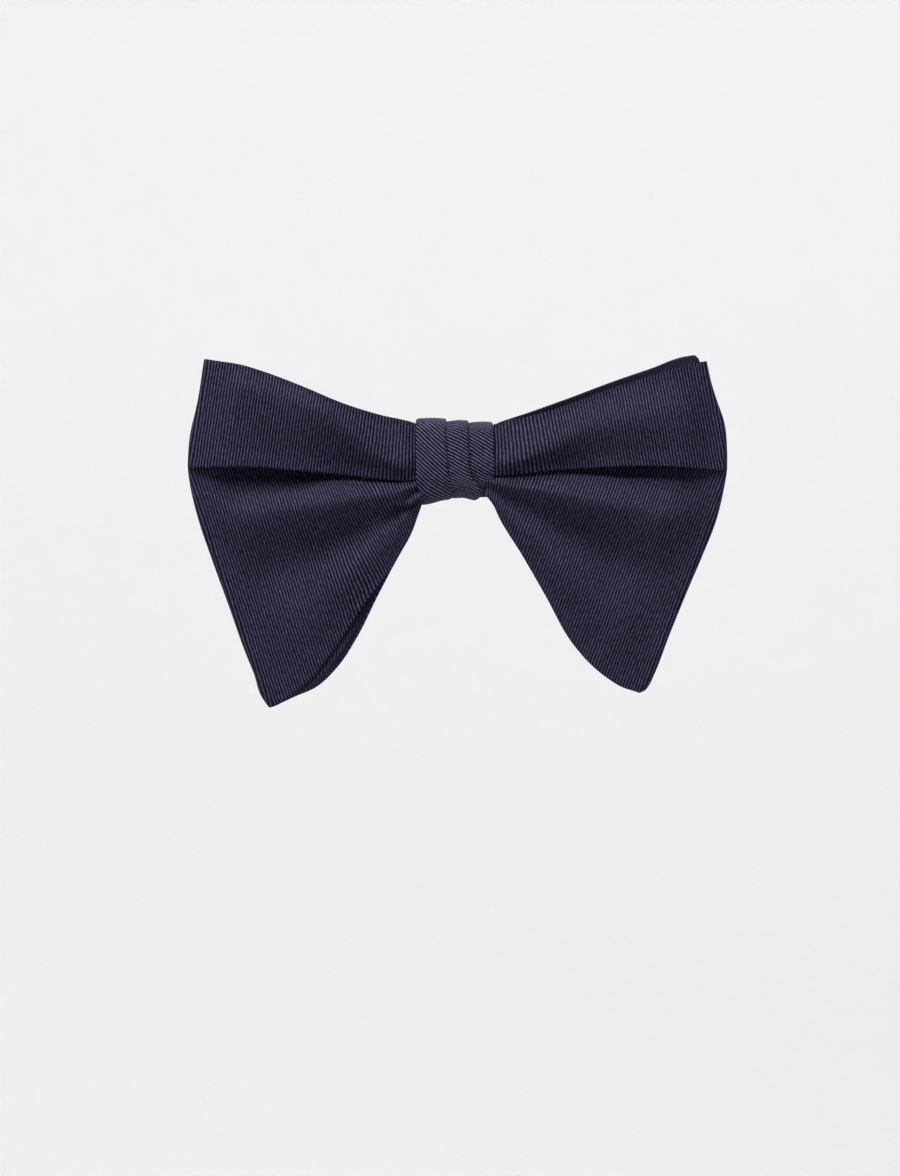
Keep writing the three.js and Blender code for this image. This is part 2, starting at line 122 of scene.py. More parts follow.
def linear(hex_colour):
    """A colour written as sRGB hex, as the linear values that a shader reads."""
    value = hex_colour.lstrip("#")
    srgb = [int(value[i : i + 2], 16) / 255 for i in (0, 2, 4)]
    return [c / 12.92 if c <= 0.04045 else ((c + 0.055) / 1.055) ** 2.4 for c in srgb] + [1.0]


def fill(tree, node, inputs):
    """Sets a node's inputs. Where the value is a node, its first output in use is linked."""
    for key, value in inputs.items():
        if isinstance(value, bpy.types.Node):
            value = next(output for output in value.outputs if output.enabled)
        if isinstance(value, bpy.types.NodeSocket):
            tree.links.new(value, node.inputs[key])
        else:
            node.inputs[key].default_value = value


def add_node(tree, kind, inputs=None, **settings):
    """Adds a shader node, with its settings, and fills or links its inputs."""
    made = tree.nodes.new("ShaderNode" + kind)
    for name, value in settings.items():
        setattr(made, name, value)
    fill(tree, made, inputs or {})
    return made


def new_material(name):
    """An empty material, with its tree and its shader."""
    made = bpy.data.materials.new(name)
    made.use_nodes = True
    return made, made.node_tree, made.node_tree.nodes["Principled BSDF"]


def mesh_piece(name, shape, material):
    """Turns a bmesh or a mesh into a smooth object whose place is in its mesh."""
    mesh = shape
    if isinstance(shape, bmesh.types.BMesh):
        mesh = bpy.data.meshes.new(name)
        shape.to_mesh(mesh)
        shape.free()
    mesh.name = name
    mesh.materials.clear()
    mesh.materials.append(material)
    for face in mesh.polygons:
        face.use_smooth = True
    return new_object(name, mesh)


flat = WALL_AWAY - BEND_RADIUS
profile = [(HOLE, 0.0), (flat / 2, 0.0)]
for i in range(BEND_STEPS + 1):
    turn = math.radians(90) * i / BEND_STEPS
    profile.append((flat + BEND_RADIUS * math.sin(turn), BEND_RADIUS * (1 - math.cos(turn))))
profile.append((WALL_AWAY, BEND_RADIUS + WALL_TOP))
bm = bmesh.new()
line = [bm.verts.new((radius, 0, floor + height)) for radius, height in profile]
edges = [bm.edges.new(pair) for pair in zip(line, line[1:])]
bmesh.ops.spin(bm, geom=line + edges, axis=(0, 0, 1), cent=(0, 0, 0), steps=96,
               angle=math.radians(360))
bmesh.ops.remove_doubles(bm, verts=bm.verts, dist=1e-4)
bmesh.ops.recalc_face_normals(bm, faces=bm.faces)
bmesh.ops.reverse_faces(bm, faces=bm.faces)
material, tree, shader = new_material("pale studio paper")
noise = add_node(tree, "TexNoise", {"Scale": 3.0, "Detail": 2.0})
ramp = add_node(tree, "ValToRGB", {"Fac": noise})
ramp.color_ramp.elements[0].color = linear("#e9e9ea")
ramp.color_ramp.elements[1].color = linear("#efefef")
fill(tree, shader, {"Base Color": ramp, "Roughness": 0.9})
mesh_piece("studio_paper", bm, material)
print("floor at", round(floor, 3))

# %% [markdown]
# The light is soft: a wide panel high in front and to the left does most of the work, so the
# tops of the folds catch it and the hollow under each upper lobe stays dark. The second panel
# fills from the right, the third lifts the edges in views from the back, and the last lights
# the wall.

# %% Lights
def add_panel(name, place, target, size, watts):
    light = bpy.data.lights.new(name, "AREA")
    light.shape, light.size, light.energy = "DISK", size, watts
    panel = new_object(name, light)
    panel.location = place
    panel.rotation_euler = (Vector(target) - Vector(place)).to_track_quat("-Z", "Y").to_euler()


BOW_CENTRE = (0, knot_low.y, -0.02)
add_panel("key_panel", (-0.3, -0.8, 1.2), BOW_CENTRE, 0.8, 34.5)
add_panel("fill_panel", (1.3, -1.3, 0.25), BOW_CENTRE, 1.2, 1.2)
add_panel("back_panel", (0.7, 1.5, 1.2), (0, 0, 0), 1.2, 16)
add_panel("wall_panel", (0, 0.7, 1.5), (0, WALL_AWAY, -0.2), 1.6, 38)

world = bpy.data.worlds.new("studio air")
world.use_nodes = True
air = world.node_tree.nodes["Background"]
fill(world.node_tree, air, {"Color": linear("#f2f4f8"), "Strength": 0.12})
scene.world = world
scene.view_settings.view_transform = "Standard"
print("lights:", len(bpy.data.lights))

# %% [markdown]
# ## Cloth and metal finishes
# **Faille** is a woven cloth with thick weft cords under fine warp, which gives it raised ribs.
# They are 1.1 mm apart and a little uneven along their length, as spun yarn is. Their grooves
# are painted almost black, as painted shade, and their ridges lighter, as painted highlight. They
# follow the cloth round every fold, so they are drawn from each piece's own UV map, which holds
# millimetres: U runs across the ribs and V along them.

# %% Ribbed cloth
RIB_PITCH = 1.12  # mm
YARN_WANDER = 0.16  # mm that a rib strays from its line
SLUB_LENGTH = 2.4  # mm, the length of a thick place in the yarn


def maths(tree, operation, *values):
    return add_node(tree, "Math", dict(enumerate(values)), operation=operation)


def spread(tree, noise, low, high):
    """Stretches a noise, which mostly lies between 0.3 and 0.7, from low to high."""
    return add_node(tree, "MapRange", {"Value": noise, "From Min": 0.3, "From Max": 0.7,
                                       "To Min": low, "To Max": high})


def two_tone(tree, share, dark, light, **settings):
    return add_node(tree, "Mix", {0: share, 6: linear(dark), 7: linear(light)}, data_type="RGBA",
                    **settings)


def ribbed_cloth(name, lit_ridge, groove, pitch=RIB_PITCH, bump_mm=0.2, sharp=3.2, seed=0.0):
    material, tree, shader = new_material(name)
    uv = add_node(tree, "UVMap", uv_map="cloth_mm")
    wander = add_node(tree, "TexNoise", {"Vector": uv, "Scale": 0.22, "Detail": 3.0})
    across = add_node(tree, "SeparateXYZ", {"Vector": uv})
    centred = maths(tree, "SUBTRACT", wander, 0.5)
    strayed = maths(tree, "MULTIPLY_ADD", centred, 4 * YARN_WANDER, across)
    wave = maths(tree, "SINE", maths(tree, "MULTIPLY", strayed, math.pi / pitch))
    rib = maths(tree, "POWER", maths(tree, "ABSOLUTE", wave), sharp)

    # a yarn is thicker here and thinner there: this noise is long along the rib. It also pushes the
    # painted highlight past the ridge colour, in bright specks.
    stretch = add_node(tree, "Mapping", {"Vector": uv, "Location": (seed, seed, 0),
                                         "Scale": (1 / pitch, 1 / SLUB_LENGTH, 1)})
    slub_and_glints = add_node(tree, "TexNoise", {"Vector": stretch, "Scale": 1.3, "Detail": 3.0,
                                       "Roughness": 0.6})
    height = maths(tree, "MULTIPLY", rib, spread(tree, slub_and_glints, 0.4, 1.5))
    # painted rib light: painted shade down in each groove, painted highlight along each ridge
    tone = two_tone(tree, height, groove, lit_ridge, clamp_factor=False)
    bump = add_node(tree, "Bump", {"Height": height, "Strength": 0.85, "Distance": bump_mm * MM})

    # the dye takes a little unevenly over the piece
    dye = add_node(tree, "TexNoise", {"Vector": uv, "Scale": 0.05, "Detail": 4.0})
    dyed = add_node(tree, "Mix", {0: 1.0, 6: tone, 7: spread(tree, dye, 0.88, 1.1)},
                    data_type="RGBA", blend_type="MULTIPLY")
    fill(tree, shader, {"Base Color": dyed, "Normal": bump, "Roughness": 0.7,
                        "Specular IOR Level": 0.08, "Sheen Weight": 0.01, "Sheen Roughness": 0.4,
                        "Sheen Tint": linear("#8a88c0")})
    return material


BOW_CLOTH = ribbed_cloth("navy ribbed faille", lit_ridge="#42405c", groove="#020106")
# a lit copy of the wings' faille: its ridges are painted brighter, as painted highlight, where the
# knot's slanted ribs catch the light
LIT_KNOT_CLOTH = ribbed_cloth("navy ribbed faille on the knot, ridges painted brighter", lit_ridge="#575573", groove="#020106",
                          pitch=1.15, bump_mm=0.3, sharp=3.6, seed=7.0)
BAND_CLOTH = ribbed_cloth("navy grosgrain band", lit_ridge="#2c2a40", groove="#0b0a14", pitch=0.8,
                          bump_mm=0.1, sharp=2.6, seed=3.0)
print("ribbed cloths:", BOW_CLOTH.name, "and 2 more")

# %% [markdown]
# The **lining** is a plain weave, and the **interlining** and **padding** are undyed, with a
# coarser weave. A plain weave is two sets of threads that cross over and under, so its height
# is the product of two waves at right angles.

# %% Plain cloths
def plain_cloth(name, thread_colour, gap_colour, pitch, bump_mm, roughness=0.85):
    material, tree, shader = new_material(name)
    uv = add_node(tree, "UVMap", uv_map="cloth_mm")
    warp = add_node(tree, "TexNoise", {"Vector": uv, "Scale": 0.4}).outputs["Color"]
    moved = add_node(tree, "VectorMath", {0: uv, 1: warp}, operation="ADD")
    split = add_node(tree, "SeparateXYZ", {"Vector": moved}).outputs
    waves = [maths(tree, "SINE", maths(tree, "MULTIPLY", split[axis], 2 * math.pi / pitch))
             for axis in ("X", "Y")]
    crossed = maths(tree, "MULTIPLY", *waves)
    weave = add_node(tree, "MapRange", {"Value": crossed, "From Min": -1.0})
    bump = add_node(tree, "Bump", {"Height": weave, "Strength": 0.7, "Distance": bump_mm * MM})
    fill(tree, shader, {"Base Color": two_tone(tree, weave, gap_colour, thread_colour),
                        "Normal": bump, "Roughness": roughness, "Sheen Weight": 0.1})
    return material


LINING = plain_cloth("navy plain-weave lining", "#35334c", "#1a1929", 0.6, 0.04, roughness=0.6)
INTERLINING = plain_cloth("undyed canvas interlining", "#d6d1c6", "#a39d90", 1.1, 0.12)
FELT = plain_cloth("undyed felt padding", "#dcd8cd", "#bdb8aa", 1.7, 0.2)
LABEL = plain_cloth("blank woven label", "#ecebe6", "#d5d3cb", 0.5, 0.04, roughness=0.55)
print("plain cloths:", LINING.name, "and 3 more")

# %% [markdown]
# **Sewing thread** is two plies twisted together, so it shows fine slanting bands.
# The hook, eye and slider are **nickel-plated steel**, tumbled to a soft shine: fine scratches
# and a worn tone spread the highlight.

# %% Thread and nickel
def twisted_thread(name, light, dark):
    material, tree, shader = new_material(name)
    place = add_node(tree, "TexCoord").outputs["Object"]
    bands = add_node(tree, "TexWave", {"Vector": place, "Scale": 900.0, "Distortion": 1.5},
                     bands_direction="DIAGONAL").outputs["Fac"]
    bump = add_node(tree, "Bump", {"Height": bands, "Strength": 0.6, "Distance": 0.05 * MM})
    fill(tree, shader, {"Base Color": two_tone(tree, bands, dark, light), "Normal": bump,
                        "Roughness": 0.55, "Sheen Weight": 0.15})
    return material


def plated_nickel(name):
    material, tree, shader = new_material(name)
    place = add_node(tree, "TexCoord").outputs["Object"]
    wear = add_node(tree, "TexNoise", {"Vector": place, "Scale": 160.0, "Detail": 5.0})
    long_way = add_node(tree, "Mapping", {"Vector": place, "Scale": (3000.0, 3000.0, 260.0)})
    scratch = add_node(tree, "TexNoise", {"Vector": long_way, "Scale": 1.0, "Detail": 2.0})
    bump = add_node(tree, "Bump", {"Height": scratch, "Strength": 0.18, "Distance": 0.02 * MM})
    fill(tree, shader, {"Base Color": two_tone(tree, wear, "#a8a49c", "#d2cfc8"), "Normal": bump,
                        "Roughness": spread(tree, wear, 0.18, 0.38), "Metallic": 1.0})
    return material


THREAD = twisted_thread("navy sewing thread", "#3a3853", "#15141f")
NICKEL = plated_nickel("tumbled nickel plate")
print("trims:", THREAD.name, "|", NICKEL.name)

# %% [markdown]
# ## Shaping cloth
# Every cloth piece starts as a flat grid, like a cut panel of fabric, and a formula carries
# each of its corners to its place. Two helpers do the common work: a smooth line through a few
# measured points, and a value that eases from one stop to the next.

# %% Lines, easing and grids
def smooth_line(points, per_span=14):
    """A smooth line through the points, as a function of the share of its length."""
    knots = [Vector(p) for p in points]
    gaps = [(b - a).length for a, b in zip(knots, knots[1:])]
    slopes = [(b - a) / gap for a, b, gap in zip(knots, knots[1:], gaps)]
    tangents = [slopes[0]]
    for i in range(1, len(knots) - 1):
        tangent = slopes[i - 1] * gaps[i] + slopes[i] * gaps[i - 1]
        tangents.append(tangent / (gaps[i] + gaps[i - 1]))
    tangents.append(slopes[-1])
    line = []
    for i, gap in enumerate(gaps):
        start, end = knots[i], knots[i + 1]
        out, back = tangents[i] * gap / 3, tangents[i + 1] * gap / 3
        line += interpolate_bezier(start, start + out, end - back, end, per_span)[:-1]
    line.append(knots[-1])
    reach = [0.0]
    for a, b in zip(line, line[1:]):
        reach.append(reach[-1] + (b - a).length)

    def at(share):
        wanted = clamp(share) * reach[-1]
        low = min(bisect_right(reach, wanted), len(line) - 1) - 1
        return line[low].lerp(line[low + 1], (wanted - reach[low]) / (reach[low + 1] - reach[low]))

    return at


def clamp(value, low=0.0, high=1.0):
    return min(max(value, low), high)


def ease(value):
    value = clamp(value)
    return value * value * (3 - 2 * value)


def mix(a, b, share):
    return a + (b - a) * share


def eased(place, *stops):
    """Reads a value off (place, value) stops, easing from each stop to the next."""
    for (x0, y0), (x1, y1) in zip(stops, stops[1:]):
        if place <= x1:
            return mix(y0, y1, ease((place - x0) / (x1 - x0)))
    return stops[-1][1]


def lay_uv(bm, weave):
    """Gives each corner the UV, in mm, that weave has for its vertex."""
    uv = bm.loops.layers.uv.new("cloth_mm")
    for face in bm.faces:
        for loop in face.loops:
            loop[uv].uv = weave(loop.vert)


def cloth_grid(name, columns, rows, place, material, thickness=0.0):
    """A sheet whose grid point (s, t) lies at place(s, t): a point and its UV, both in mm."""
    bm = bmesh.new()
    bmesh.ops.create_grid(bm, x_segments=columns, y_segments=rows, size=0.5)
    woven = {}
    for v in bm.verts:
        point, woven[v] = place(v.co.x + 0.5, v.co.y + 0.5)
        v.co = Vector(point) * MM
    lay_uv(bm, woven.get)
    piece = mesh_piece(name, bm, material)
    if thickness:
        solid = piece.modifiers.new("cloth thickness", "SOLIDIFY")
        solid.thickness = thickness * MM
        solid.offset = -1
        solid.use_even_offset = False
    return piece


print("helpers ready")

# %% [markdown]
# ## Wings
# A wing is one strip of cloth folded into a loop: a front ply, a soft fold at the outer end and
# a back ply. The knot pinches the strip, so a crease runs out from it. The lobe above the
# crease hangs over the one below, and casts the dark line across each wing.
# The wings differ: on the left the back ply hangs lower than the front one, and on the right it
# stands higher. The outlines are in mm across (X) and up (Z), from the knot outwards.

# %% Wing outlines
FOLD_ROUND = 2.4  # radius of the outer fold
MOUTH_FRONT = -70.4  # depth of the front ply inside the knot
MOUTH_BACK = -60.6
FOLD_FRONT = -67.0  # depth of the plies at the outer fold
FOLD_BACK = -62.2
STRIP_REACH = 84.0  # length of a ply along the crease

WINGS = {
    "left_wing": {
        "side": LEFT,
        "hem": [(-11.5, -13), (-13.4, -18.6), (-17.6, -28.5), (-22.6, -38), (-32.2, -50.8),
                (-41.5, -64.8), (-48.1, -74.4), (-54.4, -81.9), (-60.4, -86.4), (-66.3, -90.4)],
        "crease": [(-11.5, -6.6), (-14.8, -7.1), (-41, -5.2), (-58, -3.6), (-75, -2.2),
                   (-96, -2.2)],
        "top": [(-11.5, 12), (-14.8, 13.4), (-28, 16.6), (-42, 21), (-56, 27), (-69.3, 32.2),
                (-78.6, 35.2), (-90.2, 37.4)],
        "fold_low": [(-69, -91.6), (-72, -87), (-74.3, -79.6), (-77.3, -72.2), (-83.9, -53.7),
                     (-90.6, -35.2), (-95, -22.2), (-98.2, -9), (-99.1, -2.6)],
        "fold_top": [(-99.1, -2.6), (-98.4, 7.8), (-95.2, 23), (-93, 37.4)],
        "back_hem": [(-11.5, -13), (-13, -17.2), (-17, -27.8), (-21.1, -35.2), (-28.9, -50),
                     (-36.3, -64.8), (-43.6, -75.9), (-51.9, -83.5), (-59, -86.5), (-66.3, -89.9)],
        "back_top": [(-11.5, 12), (-14.8, 13), (-28, 16), (-42, 20.2), (-56, 26), (-69.3, 31),
                     (-78.6, 34.2), (-90.2, 36.8)],
    },
    "right_wing": {
        "side": RIGHT,
        "hem": [(11.5, -13), (14.6, -17.4), (15.9, -20.4), (24.8, -35.2), (33.3, -50),
                (43.7, -68.5), (50.4, -76.3), (57.6, -82.2), (62.4, -85.1), (66.4, -86.4)],
        "crease": [(11.5, -5.4), (14.7, -5.6), (37, -3.6), (58, -2.4), (75, -2), (97.9, -3.6)],
        "top": [(11.5, 12), (14.8, 13.4), (28, 16.4), (42, 20.6), (58, 26.4), (72.9, 31.1),
                (82.6, 33.8), (90.8, 36.3)],
        "fold_low": [(68.6, -86.5), (70.8, -85.4), (72.3, -83.4), (74.1, -79.6), (79.8, -64.8),
                     (85.8, -50), (92.1, -35.2), (97.2, -22.2), (100.2, -9.6), (101.2, -4)],
        "fold_top": [(101.2, -4), (101.2, 3.3), (100.2, 14.1), (97.2, 23), (95.3, 29.3),
                     (93.6, 37)],
        "back_hem": [(11.5, -13), (14.6, -16.6), (16.4, -20), (25.4, -34), (34.2, -48.4),
                     (44.8, -66.4), (51.2, -74.4), (58.2, -80.6), (63, -84.2), (66.6, -86)],
        "back_top": [(11.5, 12), (14.8, 13.6), (28, 18.4), (42, 23.8), (58, 30.4), (73, 36.2),
                     (86.4, 41.4), (90, 41.8), (91.4, 39.4)],
    },
}


def place_outline(wing, u, v, back=False):
    """The strip's flat shape. u runs out from the knot, and v up: 0 hem, 1 crease, 2 top."""
    ply = "back_" if back else ""
    low, high, fold, share = ply + "hem", "crease", "fold_low", v
    if v > 1:
        low, high, fold, share = "crease", ply + "top", "fold_top", v - 1
    low, high, fold = (wing["lines"][key] for key in (low, high, fold))
    outward = wing["out_low"].lerp(wing["out_top"], ease((v - 0.9) / 0.2)).normalized()
    bulge = fold(share) - outward * FOLD_ROUND - low(1).lerp(high(1), share)
    return low(u).lerp(high(u), share) + bulge * u ** 1.5, outward


for wing in WINGS.values():
    wing["lines"] = {key: smooth_line(points) for key, points in wing.items() if key != "side"}
    for key in ("low", "top"):
        fold = wing["fold_" + key]
        run = Vector(fold[-1]) - Vector(fold[key == "low"])
        across = Vector((run.y, -run.x)).normalized()
        wing["out_" + key] = across * wing["side"] * (1 if across.x > 0 else -1)
    print("the fold faces", [round(share, 2) for share in wing["out_low"]])

# %% [markdown]
# From the side, each ply swells forward in two lobes. The lower lobe rises out of the crease,
# sinks a little halfway down, and swells again above the hem. The upper one ends in a lip that
# stands clear of the lower lobe by up to 8 mm, and closes in again at the fold.

# %% How far the cloth stands forward
LIP_REACH = {LEFT: 8.2, RIGHT: 5.6}
BELLY_AT = {LEFT: 1.78, RIGHT: 1.56}  # v where the upper lobe is fullest
BELLY = {LEFT: 12.6, RIGHT: 8.6}  # how full it is there
TOP_REACH = {LEFT: 9.5, RIGHT: 3.4}  # and at its upper hem
HEM_PRESSED = {LEFT: 4.0, RIGHT: 0.0}  # how far the back ply's lower hem is pressed forward
LIP_SPAN = 1.4  # v where the lip has run out into the upper lobe
SMALL_PLEAT = 3.4  # height of the short pleat beside the knot, on the left
SINK = -1.4  # depth of the crease


def forward(wing, u, v, pleated=True):
    side = wing["side"]
    outer = ease((u - 0.04) / 0.45)
    if v > 1:
        lip = eased(u, (0.03, 0.16), (0.3, 0.3), (0.62, 0.95), (0.82, 1), (1, 0.25))
        lobe = eased(u, (0, 0.1), (0.1, 0.8), (0.5, 1), (0.84, 0.95), (1, 0))
        fullest = (mix(1.2, BELLY_AT[side], outer), lobe * mix(5.4, BELLY[side], outer))
        depth = eased(v, (1.0, SINK * lobe), (1.07, LIP_REACH[side] * lip), fullest,
                      (2.0, 0.1 + TOP_REACH[side] * lobe * outer))
    else:
        lobe = eased(u, (0, 0.1), (0.12, 0.45), (0.5, 1), (0.8, 0.8), (1, 0))
        depth = lobe * eased(v, (0, 1.5), (0.24, 4.2), (0.49, 0), (0.76, 9.6), (0.9, 3),
                             (1.0, SINK))
    if side == LEFT and pleated:
        start = eased(u, (0, 0.04), (0.07, 0.34), (0.2, 0.62))
        strength = eased(u, (0, 0.5), (0.05, 1), (0.15, 0.9), (0.27, 0))
        depth += SMALL_PLEAT * strength * eased(v - start, (-0.03, 0), (0.015, 1), (0.4, 0))
    return depth + math.exp(-u * 14) * 0.5 * math.sin(v * 11 + side)


def wing_point(wing, s, v, depth=0.0):
    """A point of the loop: s is 0 to 1 along the front ply, to 2 round the fold, to 3 at the back.
    A depth gives the same point of a layer that lies that far inside the loop."""
    if s <= 1:
        tucked = v
        if 0.94 < v < 1.2:  # the lobe above the crease hangs over the one below
            tucked = eased(v, (0.94, 0.94), (1, 1.035), (1.06, 1), (1.2, 1.2))
        stand = forward(wing, s, v, pleated=not depth)
        if depth and 1 < v < LIP_SPAN:  # an inner layer goes straight up behind the lip
            tucked = v
            crease, above = forward(wing, s, 1), forward(wing, s, LIP_SPAN)
            stand = min(stand, mix(crease, above, (v - 1) / (LIP_SPAN - 1)))
        flat, _ = place_outline(wing, s, tucked)
        y = mix(MOUTH_FRONT, FOLD_FRONT, ease(s * 1.4)) - stand
        return Vector((flat.x, y + depth * 1.15, flat.y))
    if s >= 2:
        u = 3 - s
        flat, _ = place_outline(wing, u, v, back=True)
        hollow = 5 * math.exp(-(((v - 1) / 0.12) ** 2)) * u * (1.15 - u)
        pressed = eased(u, (0.1, 0), (0.35, 1), (0.85, 1), (1, 0)) * (1 - ease(v / 0.3))
        y = mix(MOUTH_BACK, FOLD_BACK, ease(u * 3)) - hollow - HEM_PRESSED[wing["side"]] * pressed
        return Vector((flat.x, y - depth, flat.y))
    front, back = wing_point(wing, 1, v, depth), wing_point(wing, 2, v, depth)
    _, outward = place_outline(wing, 1, v)
    turn = math.pi * (s - 1)
    middle, half = (front + back) / 2, (front - back) / 2
    reach = (FOLD_ROUND - depth) * math.sin(turn)
    return middle + half * math.cos(turn) + Vector((outward.x, 0, outward.y)) * reach


def rib_place(wing, s, v):
    """The UV in mm. Ribs lie parallel to the outer fold, and turn upright beside the knot."""
    front = s < 1.5
    u = min(s if front else 3 - s, 1)
    point = wing_point(wing, u if front else 3 - u, v)
    flat = Vector((point.x, point.z))
    from_low = (wing["lines"]["fold_low"](0.45) - flat).dot(wing["out_low"])
    if wing["side"] == LEFT:  # the small pleat pulls the ribs below it aslant
        from_low += 0.22 * (point.z + 22) * math.exp(-(((u - 0.3) / 0.16) ** 2))
    from_top = (wing["lines"]["fold_top"](0.4) - flat).dot(wing["out_top"])
    parallel = mix(from_low, from_top, ease((v - 0.97) / 0.07))
    reach = mix((1 - u) * STRIP_REACH, parallel, ease((u - 0.02) / 0.34))
    return FOLD_ROUND * math.pi * clamp(s - 1) * 0.8 + (-reach if front else reach), point.z


# %% [markdown]
# The strip's long edges are turned in round the interlining, so a hem is a soft roll: the last
# rows of the grid go round the roll and come back along the inside. Rows are closest at the
# crease and at the hems, where the cloth bends most.

# %% Wing cloth
HEM_ROUND = 0.55
HEM_RETURN = 8.0  # mm that the turned-in edge runs back inside
CLOTH_THICK = 0.35
HEM_ROWS = 10


def hem_share(row, rows):
    """For a row: v on the ply, and how far past the hem it lies, up to 1 at the raw edge."""
    past = max(HEM_ROWS - row, row - rows + HEM_ROWS, 0) / HEM_ROWS
    t = clamp((row - HEM_ROWS) / (rows - 2 * HEM_ROWS))
    return 2 * t - 0.12 * math.sin(4 * math.pi * t), past


def surface_frame(wing, s, v):
    """The point with its inward normal and the direction across the strip."""
    near = 0.004
    v0, v1 = clamp(v - near, 0, 2), clamp(v + near, 0, 2)
    s0, s1 = clamp(s - near, 0, 3), clamp(s + near, 0, 3)
    across = (wing_point(wing, s, v1) - wing_point(wing, s, v0)) / (v1 - v0)
    along = (wing_point(wing, s1, v) - wing_point(wing, s0, v)).normalized()
    inward = across.cross(along).normalized() * wing["side"]
    return wing_point(wing, s, v), inward, across


def wing_cloth(name, wing, columns=150, rows=136):
    """The ribbed strip of one wing, with its hems turned in."""
    def place(share, t):
        s = loop_share(share)
        v, past = hem_share(round(t * rows), rows)
        if not past:
            return wing_point(wing, s, v), rib_place(wing, s, v)
        end = 1 if v > 1 else -1
        inset = HEM_ROUND / surface_frame(wing, s, v)[2].length
        base, inward, across = surface_frame(wing, s, v - end * inset)
        outward = across.normalized() * end
        angle = math.pi * min(past / 0.5, 1)
        run = max(past - 0.5, 0) / 0.5 * HEM_RETURN
        if run:
            base, inward, _ = surface_frame(wing, s, v - end * (inset + run / across.length))
        placed = base + (outward * math.sin(angle) + inward * (1 - math.cos(angle))) * HEM_ROUND
        rib = rib_place(wing, s, v)[0]
        if run:  # turned under, the ribs slant the other way
            rib = 0.7 * rib - 0.75 * run
        return placed, (rib, placed.z)

    return cloth_grid(name, columns, rows, place, BOW_CLOTH, CLOTH_THICK)


def loop_share(share):
    """Column shares: over half go to the front ply, and a tenth round the outer fold."""
    if share < 0.56:
        return share / 0.56
    if share < 0.66:
        return 1 + (share - 0.56) / 0.1
    return 2 + (share - 0.66) / 0.34


def sew_wing(cloth, wing_name, node):
    """Puts a cloth in its node's place."""
    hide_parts(wing_name + node)
    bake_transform(cloth)
    print(cloth.name, len(cloth.data.polygons), "faces")


for name, wing in WINGS.items():
    sew_wing(wing_cloth(name + "_cloth_sewn", wing), name, "_cloth")

# %% [markdown]
# Two more layers lie inside the loop. The canvas interlining is cut short of the hems and
# gives the wing its body, and the lining covers it. Both follow the cloth's own surface at a
# set depth, but go straight up behind the lip.

# %% Interlining and lining
LAYER_START = 0.045  # they stop short of the knot, as only the cloth is gathered into it


def wing_layer(name, wing, depth, thickness, material, inset, columns=84, rows=64):
    def place(share, t):
        s = mix(LAYER_START, 3 - LAYER_START, loop_share(share) / 3)
        t = mix(inset, 1 - inset, t)
        v = 2 * t - 0.08 * math.sin(4 * math.pi * t)
        point = wing_point(wing, s, v, depth)
        return point, (rib_place(wing, s, v)[0], point.z)

    return cloth_grid(name, columns, rows, place, material, thickness)


for name, wing in WINGS.items():
    canvas = wing_layer(name + "_canvas", wing, 0.45, 0.25, INTERLINING, inset=0.012)
    lining = wing_layer(name + "_lining_sewn", wing, 1.25, 0.15, LINING, inset=0.09)
    sew_wing(canvas, name, "_interlining")
    sew_wing(lining, name, "_lining")

# %% [markdown]
# ## Knot
# The knot is a strip of the same cloth, cut on a slant so that its ribs run down to the right,
# and pressed into three knife pleats, the left over the middle one and that over the right.
# Each pleat doubles back 3 mm under the one above it.
# The strip goes up the front, over the top and down the back, where its ends lap. So the shape
# is one cross-section, with real folds in it, carried round a ring.

# %% The ring and the pleats
RING = [(-57.5, -3.5), (-57.1, -9), (-57.2, -12.6), (-59.2, -14.9), (-63.5, -15.4),
        (-67.8, -15.9), (-71, -14), (-73.4, -9.4), (-74.5, -3.6), (-74.6, 2), (-74.3, 8),
        (-73.1, 12.4), (-69.6, 15.1), (-63.5, 15.5), (-58.4, 14.8), (-56.2, 11.8), (-55.7, 4),
        (-55.7, -5.9)]
RING_LINE = smooth_line(RING)
PLEAT_BACK = 3.0  # mm that a pleat doubles back
PLEAT_TURN = (-1.3, -0.35, 0, -0.4, -PLEAT_BACK, -PLEAT_BACK - 0.35, -PLEAT_BACK, -0.2, 1.0)
PLEAT_COLUMNS, RING_ROWS = 150, 120


def line_length(line, steps):
    return sum((line((i + 1) / steps) - line(i / steps)).length for i in range(steps))


RING_LENGTH = line_length(RING_LINE, 200)


def pleat_edges(y, z):
    """X of the strip's left edge, its two pleat folds and its right edge, at a spot of the ring."""
    front = 1 - ease((y + 72) / 9)
    left = eased(-z, (-12, -14.7), (0, -14.6), (8, -14.3), (12.5, -13.4), (16, -12.5))
    first = eased(-z, (-12, -3.5), (4, -2.7), (10.8, -1.2), (16, 0.2))
    second = eased(-z, (-12, 4.9), (2, 5.4), (7, 6.3), (10.8, 8.5), (14, 10.9))
    right = eased(-z, (-8, 14.5), (10, 14.7), (15, 14.5))
    at_back = (-13.8, -3.2, 5.0, 13.8)
    return [mix(back, x, front) for back, x in zip(at_back, (left, first, second, right))]


